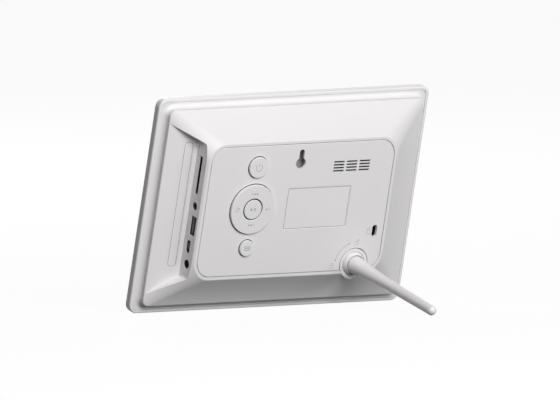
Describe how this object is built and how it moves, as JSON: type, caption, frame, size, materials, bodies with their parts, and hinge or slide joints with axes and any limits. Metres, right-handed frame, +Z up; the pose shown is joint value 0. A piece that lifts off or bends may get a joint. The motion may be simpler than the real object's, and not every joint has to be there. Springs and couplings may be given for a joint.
{
  "type": "digital photo frame",
  "caption": "Digital photo frame leaning on a round twist-in rear leg, with round buttons, a rocking ring, side ports, a keyhole and a lock slot in its back.",
  "frame": {"origin": "on the table, under the middle of the whole: frame and leg", "axes": "+X to the right as seen from the front, +Y backwards, +Z up"},
  "size_m": [0.218, 0.1334, 0.1484],
  "materials": {
    "white_gloss_plastic": "polished injection moulding",
    "white_satin_plastic": "finely grained injection moulding",
    "clear_acrylic": "polished",
    "mat_plastic": "matt",
    "display_glass": "polished",
    "light_guide_acrylic": "polished",
    "sheet_steel": "zinc plated sheet",
    "steel_screws": "zinc plated",
    "flex_film": "satin film",
    "label_film": "satin film",
    "grey_plastic": "satin",
    "foam_rubber": "closed-cell foam",
    "cone_paper": "coated paper",
    "magnet_metal": "plated",
    "lead_sleeve": "smooth sleeve",
    "cream_plastic": "satin",
    "black_plastic": "satin",
    "brown_plastic": "satin",
    "circuit_board": "solder mask",
    "brass_standoffs": "turned",
    "capacitor_can": "satin",
    "jack_plastic": "satin",
    "plug_metal": "nickel plated"
  },
  "bodies": {
    "casing": {"front_bezel": "white_gloss_plastic", "rear_cover": "white_satin_plastic", "rear_panel": "white_satin_plastic", "display_window": "clear_acrylic", "picture_mat": "mat_plastic", "display_cell": "display_glass", "light_guide": "light_guide_acrylic", "backlight_tray": "sheet_steel", "display_bracket": "sheet_steel", "bracket_screws": "steel_screws", "display_flex": "flex_film", "case_screws": "steel_screws", "rating_label": "label_film", "port_label_strip": "label_film", "keyhole_cup": "grey_plastic", "lock_plate": "sheet_steel", "speaker_gasket": "foam_rubber", "speaker_basket": "sheet_steel", "speaker_cone": "cone_paper", "speaker_magnet": "magnet_metal", "speaker_leads": "lead_sleeve", "lead_socket": "cream_plastic", "tact_switches": "black_plastic", "ring_plungers": "brown_plastic", "key_board": "circuit_board", "key_board_screws": "steel_screws", "board_link": "black_plastic", "main_board": "circuit_board", "board_standoffs": "brass_standoffs", "board_screws": "steel_screws", "board_chips": "black_plastic", "capacitors": "capacitor_can", "flex_socket": "cream_plastic", "card_reader": "black_plastic", "headphone_jack": "jack_plastic", "usb_shell": "plug_metal", "usb_insulator": "black_plastic", "usb_block": "black_plastic", "mini_usb_shell": "plug_metal", "mini_usb_insulator": "black_plastic", "power_jack": "black_plastic", "power_jack_pin": "plug_metal"},
    "power_button": {"power_button": "white_satin_plastic", "power_plunger": "brown_plastic"},
    "menu_button": {"menu_button": "white_satin_plastic", "menu_plunger": "brown_plastic"},
    "play_button": {"play_button": "white_satin_plastic", "play_plunger": "brown_plastic"},
    "rocker_collar": {"rocker_collar": "grey_plastic"},
    "navigation_ring": {"navigation_ring": "white_satin_plastic"},
    "leg": {"leg_collar": "white_satin_plastic", "stand_leg": "white_gloss_plastic"}
  },
  "joints": [
    {"name": "power_press", "type": "slide", "parent": "casing", "child": "power_button", "axis": [0, -0.9665, 0.2566], "range_m": [0, 0.0003], "stiffness_N_per_m": 2000, "springref_m": -0.0002},
    {"name": "menu_press", "type": "slide", "parent": "casing", "child": "menu_button", "axis": [0, -0.9665, 0.2566], "range_m": [0, 0.0003], "stiffness_N_per_m": 2000, "springref_m": -0.0002},
    {"name": "play_press", "type": "slide", "parent": "casing", "child": "play_button", "axis": [0, -0.9665, 0.2566], "range_m": [0, 0.0003], "stiffness_N_per_m": 2000, "springref_m": -0.0002},
    {"name": "ring_rock_up_down", "type": "hinge", "parent": "casing", "child": "rocker_collar", "pos_m": [0.0358, -0.02613, 0.0716], "axis": [-1, 0, 0], "range_deg": [-1, 1], "stiffness_Nm_per_rad": 0.5},
    {"name": "ring_rock_sideways", "type": "hinge", "parent": "rocker_collar", "child": "navigation_ring", "pos_m": [0.0358, -0.02497, 0.07129], "axis": [0, 0.2566, 0.9665], "range_deg": [-1, 1], "stiffness_Nm_per_rad": 0.5},
    {"name": "leg_twist", "type": "hinge", "parent": "casing", "child": "leg", "pos_m": [-0.0534, -0.03223, 0.02873], "axis": [0, 0.9665, -0.2566], "range_deg": [0, 90]}
  ]
}
